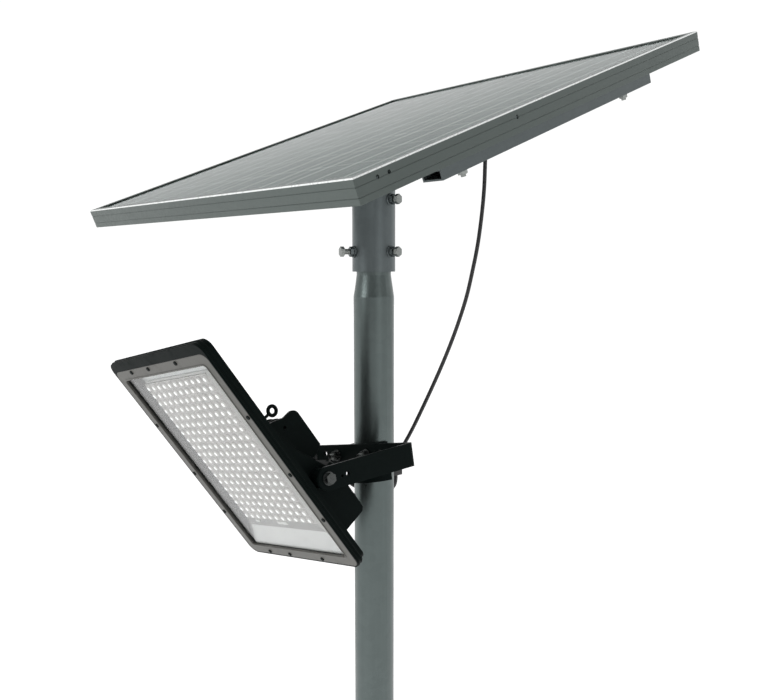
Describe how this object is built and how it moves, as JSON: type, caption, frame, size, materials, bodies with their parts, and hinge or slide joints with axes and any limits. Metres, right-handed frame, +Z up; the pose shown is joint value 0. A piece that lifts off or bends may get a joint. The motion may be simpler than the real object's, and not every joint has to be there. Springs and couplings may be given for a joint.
{
  "type": "solar street lamp",
  "caption": "Pole-mounted solar street lamp: tilted solar panel on a clamped head, and an aimable floodlight in a U-shaped yoke held by a U-bolt.",
  "frame": {"origin": "centre of the base plate's underside, on the pole's axis", "axes": "+Z up the pole, +Y up the slope of the panel, the floodlight on the -Y side, +X to the right seen from the lamp's side"},
  "size_m": [0.645, 0.6814, 2.5378],
  "materials": {
    "galvanised": "dull hot-dip galvanised steel",
    "head_steel": "dark galvanised steel",
    "rail_steel": "dark galvanised steel",
    "zinc_hardware": "zinc plated",
    "frame_aluminium": "matt anodised",
    "panel_glass": "clear tempered, slightly dusty",
    "cell_blue": "dark laminate of silicon cells",
    "backsheet_white": "white laminate",
    "black_plastic": "fine-textured",
    "cable_jacket": "satin jacket",
    "black_powder_coat": "black powder coat, slightly dusty",
    "lamp_casting": "black powder-coated casting",
    "bezel_grey": "grey beige paint",
    "lamp_glass": "clear tempered",
    "gasket_rubber": "soft",
    "lens_acrylic": "clear and white moulded",
    "board_white": "white board",
    "spreader_aluminium": "plain",
    "cell_wrap": "blue shrink wrap",
    "board_green": "green board"
  },
  "bodies": {
    "post": {"base_plate": "galvanised", "base_gussets": "galvanised", "pole_tube": "galvanised", "pole_clip": "black_plastic", "clip_screw": "zinc_hardware"},
    "head": {"sleeve": "head_steel", "sleeve_nuts": "head_steel", "set_bolts": "zinc_hardware", "head_plate": "head_steel", "head_gussets": "head_steel", "cross_beam_low": "head_steel", "cross_beam_high": "head_steel", "rail_left": "rail_steel", "rail_right": "rail_steel", "rail_bolts": "zinc_hardware", "rail_nuts": "zinc_hardware", "frame_low": "frame_aluminium", "frame_high": "frame_aluminium", "frame_left": "frame_aluminium", "frame_right": "frame_aluminium", "corner_keys": "frame_aluminium", "solar_glass": "panel_glass", "cell_sheet": "cell_blue", "backsheet": "backsheet_white", "junction_box": "black_plastic", "junction_box_lid": "black_plastic", "box_gland": "black_plastic", "cable_upper": "cable_jacket"},
    "bracket": {"u_bolt": "zinc_hardware", "u_bolt_nuts": "zinc_hardware", "u_bolt_washers": "zinc_hardware", "saddle": "black_powder_coat", "yoke": "black_powder_coat", "yoke_clip": "black_plastic", "yoke_clip_screw": "zinc_hardware", "cable_middle": "cable_jacket", "cable_lower": "cable_jacket"},
    "lamp": {"cable_tail": "cable_jacket", "lamp_housing": "lamp_casting", "bezel": "bezel_grey", "bezel_screws": "black_powder_coat", "lamp_glass": "lamp_glass", "gasket": "gasket_rubber", "lens_plate": "lens_acrylic", "led_board": "board_white", "heat_spreader": "spreader_aluminium", "battery_cells": "cell_wrap", "battery_holder": "black_plastic", "controller_board": "board_green", "board_posts": "zinc_hardware", "rear_cover": "lamp_casting", "cover_screws": "zinc_hardware", "eye_bolt": "lamp_casting", "lamp_gland": "black_plastic", "pivot_bolts": "zinc_hardware", "pivot_washers": "zinc_hardware"}
  },
  "joints": [
    {"name": "head_swivel", "type": "hinge", "parent": "post", "child": "head", "pos_m": [0, 0, 2.3], "axis": [0, 0, 1], "range_deg": [-20, 20]},
    {"name": "lamp_swivel", "type": "hinge", "parent": "post", "child": "bracket", "pos_m": [0, 0, 1.929], "axis": [0, 0, 1], "range_deg": [-20, 20]},
    {"name": "lamp_tilt", "type": "hinge", "parent": "bracket", "child": "lamp", "pos_m": [0.00143, -0.1875, 1.92164], "axis": [0.9816, 0, 0.1908], "range_deg": [-32.5, 35]}
  ]
}
